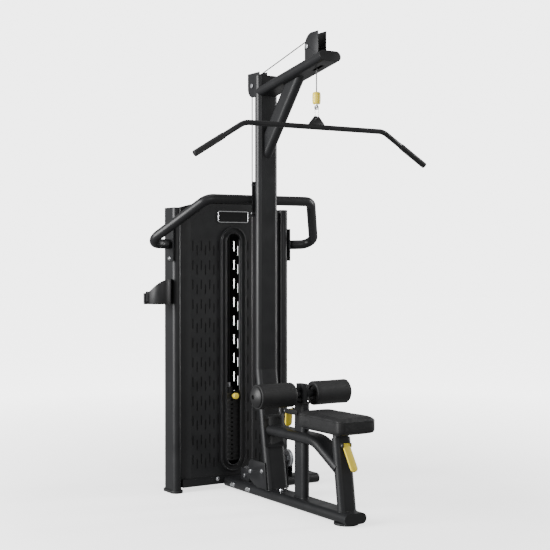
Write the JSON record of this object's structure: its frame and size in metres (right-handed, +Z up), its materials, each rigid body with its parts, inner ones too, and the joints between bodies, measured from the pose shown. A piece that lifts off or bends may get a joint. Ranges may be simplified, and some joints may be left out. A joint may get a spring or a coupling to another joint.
{
  "type": "lat pulldown machine",
  "caption": "Lat pulldown machine with a perforated weight-stack tower, overhead cable arm, bent pull bar, padded seat and foam thigh rollers.",
  "frame": {"origin": "centre of the bounding box on the floor", "axes": "+Z up, +Y from the seat toward the tower (the user faces +Y), +X to the user's right"},
  "size_m": [1.308, 1.272, 2.255],
  "materials": {
    "black_powder": "satin powder coat, near black",
    "panel_paint": "fine-texture powder coat on sheet",
    "black_plastic": "moulded matt plastic",
    "pulley_alloy": "turned aluminium, satin",
    "zinc_steel": "zinc plated steel",
    "bright_link": "bright zinc plated wire",
    "chrome": "polished chrome",
    "cable_jacket": "smooth nylon jacket",
    "yellow_plastic": "moulded yellow plastic",
    "badge": "blank gloss plate with a silver border",
    "grip_rubber": "moulded rubber sleeve",
    "foot_rubber": "matt rubber",
    "iron_plate": "machined iron plate, black",
    "black_vinyl": "upholstery vinyl, fine grain",
    "black_foam": "closed-cell foam with a smooth skin"
  },
  "bodies": {
    "frame": {"base_rail": "black_powder", "column": "black_powder", "overhead_arm": "black_powder", "arm_brace": "black_powder", "tube_end_caps": "black_plastic", "front_pulley_bracket": "black_powder", "rear_pulley_bracket": "black_powder", "axles_and_pins": "zinc_steel", "main_cable": "cable_jacket", "tower_posts": "black_powder", "tower_cross_beams": "black_powder", "front_panel": "panel_paint", "panel_liner": "black_plastic", "window_rim": "black_powder", "badge_plate": "badge", "rear_panel": "panel_paint", "tower_feet": "foot_rubber", "weight_plates": "iron_plate", "guide_rods": "chrome", "stack_bumpers": "foot_rubber", "pulley_brackets": "black_powder", "foot_gussets": "black_powder", "handle_bar": "black_powder", "handle_mounts": "black_powder", "accessory_hook": "black_plastic", "front_foot": "foot_rubber", "seat_leg": "black_powder", "seat_rail": "black_powder", "rail_flange": "black_powder", "lever_brackets": "black_powder", "roller_post": "black_powder", "post_collar": "black_plastic", "stabiliser_tube": "black_powder", "frame_bolts": "zinc_steel"},
    "stack_carriage": {"head_plate": "iron_plate", "selector_rod": "zinc_steel", "stack_cable": "cable_jacket"},
    "selector": {"selector_pin": "yellow_plastic"},
    "pull_hook": {"bar_cable": "cable_jacket", "cable_stopper": "yellow_plastic"},
    "swivel_link": {"swivel_eye": "zinc_steel", "carabiner": "bright_link"},
    "pull_bar": {"bar_lugs": "black_powder", "lat_bar": "black_powder", "bar_grips": "grip_rubber"},
    "pulley_front": {"front_top_pulley": "pulley_alloy"},
    "pulley_rear": {"rear_top_pulley": "pulley_alloy"},
    "pulley_floor": {"floor_pulley": "pulley_alloy"},
    "pulley_tower_base": {"tower_base_pulley": "pulley_alloy"},
    "pulley_tower_top": {"tower_top_pulley": "pulley_alloy"},
    "pulley_side": {"side_pulley": "pulley_alloy"},
    "seat": {"seat_slide_tube": "black_powder", "seat_plate": "black_powder", "seat_pad": "black_vinyl"},
    "seat_paddle": {"seat_lever": "yellow_plastic"},
    "roller_holder": {"roller_slide_tube": "black_powder", "roller_axle": "black_powder"},
    "roller_left": {"foam_roller_left": "black_foam"},
    "roller_right": {"foam_roller_right": "black_foam"},
    "roller_paddle": {"roller_lever": "yellow_plastic"}
  },
  "joints": [
    {"name": "stack_lift", "type": "slide", "parent": "frame", "child": "stack_carriage", "axis": [0, 0, 1], "range_m": [0, 0.8], "deforming": ["stack_cable"]},
    {"name": "selector_draw", "type": "slide", "parent": "stack_carriage", "child": "selector", "axis": [0, -1, 0], "range_m": [0, 0.05]},
    {"name": "bar_pull", "type": "slide", "parent": "frame", "child": "pull_hook", "axis": [0, 0, -1], "range_m": [0, 0.8], "deforming": ["bar_cable"]},
    {"name": "link_swivel", "type": "hinge", "parent": "pull_hook", "child": "swivel_link", "pos_m": [0, -0.289, 1.905], "axis": [0, 0, 1], "range_deg": [-45, 45]},
    {"name": "bar_tilt", "type": "hinge", "parent": "swivel_link", "child": "pull_bar", "pos_m": [0, -0.289, 1.854], "axis": [0, 1, 0], "range_deg": [-12, 12]},
    {"name": "front_pulley_turn", "type": "hinge", "parent": "frame", "child": "pulley_front", "pos_m": [0, -0.247, 2.193], "axis": [1, 0, 0], "range_deg": [0, 1099]},
    {"name": "rear_pulley_turn", "type": "hinge", "parent": "frame", "child": "pulley_rear", "pos_m": [0, 0.252, 2.068], "axis": [1, 0, 0], "range_deg": [0, 1099]},
    {"name": "floor_pulley_turn", "type": "hinge", "parent": "frame", "child": "pulley_floor", "pos_m": [0, 0.336, 0.088], "axis": [1, 0, 0], "range_deg": [-1099, 0]},
    {"name": "tower_base_pulley_turn", "type": "hinge", "parent": "frame", "child": "pulley_tower_base", "pos_m": [0, 0.574, 0.088], "axis": [1, 0, 0], "range_deg": [-1099, 0]},
    {"name": "tower_top_pulley_turn", "type": "hinge", "parent": "frame", "child": "pulley_tower_top", "pos_m": [0, 0.574, 1.412], "axis": [1, 0, 0], "range_deg": [-1099, 0]},
    {"name": "side_pulley_turn", "type": "hinge", "parent": "frame", "child": "pulley_side", "pos_m": [0.249, 0.35, 0.15], "axis": [1, 0, 0], "continuous": true},
    {"name": "seat_height", "type": "slide", "parent": "frame", "child": "seat", "axis": [0, 0.1426, 0.9898], "range_m": [0, 0.09]},
    {"name": "seat_lever_pull", "type": "hinge", "parent": "frame", "child": "seat_paddle", "pos_m": [0, -0.529, 0.357], "axis": [-1, 0, 0], "range_deg": [0, 20], "stiffness_Nm_per_rad": 0.8},
    {"name": "roller_height", "type": "slide", "parent": "frame", "child": "roller_holder", "axis": [0, 0, 1], "range_m": [0, 0.1]},
    {"name": "roller_left_spin", "type": "hinge", "parent": "roller_holder", "child": "roller_left", "pos_m": [-0.166, -0.166, 0.554], "axis": [1, 0, 0], "continuous": true},
    {"name": "roller_right_spin", "type": "hinge", "parent": "roller_holder", "child": "roller_right", "pos_m": [0.166, -0.166, 0.554], "axis": [1, 0, 0], "continuous": true},
    {"name": "roller_lever_pull", "type": "hinge", "parent": "frame", "child": "roller_paddle", "pos_m": [0, -0.052, 0.464], "axis": [1, 0, 0], "range_deg": [0, 20], "stiffness_Nm_per_rad": 0.8}
  ],
  "couplings": [
    {"joint": "bar_pull", "follows": "stack_lift", "ratio": 1},
    {"joint": "front_pulley_turn", "follows": "stack_lift", "rad_per_m": 23.809},
    {"joint": "rear_pulley_turn", "follows": "stack_lift", "rad_per_m": 23.809},
    {"joint": "floor_pulley_turn", "follows": "stack_lift", "rad_per_m": -23.809},
    {"joint": "tower_base_pulley_turn", "follows": "stack_lift", "rad_per_m": -23.809},
    {"joint": "tower_top_pulley_turn", "follows": "stack_lift", "rad_per_m": -23.809}
  ]
}
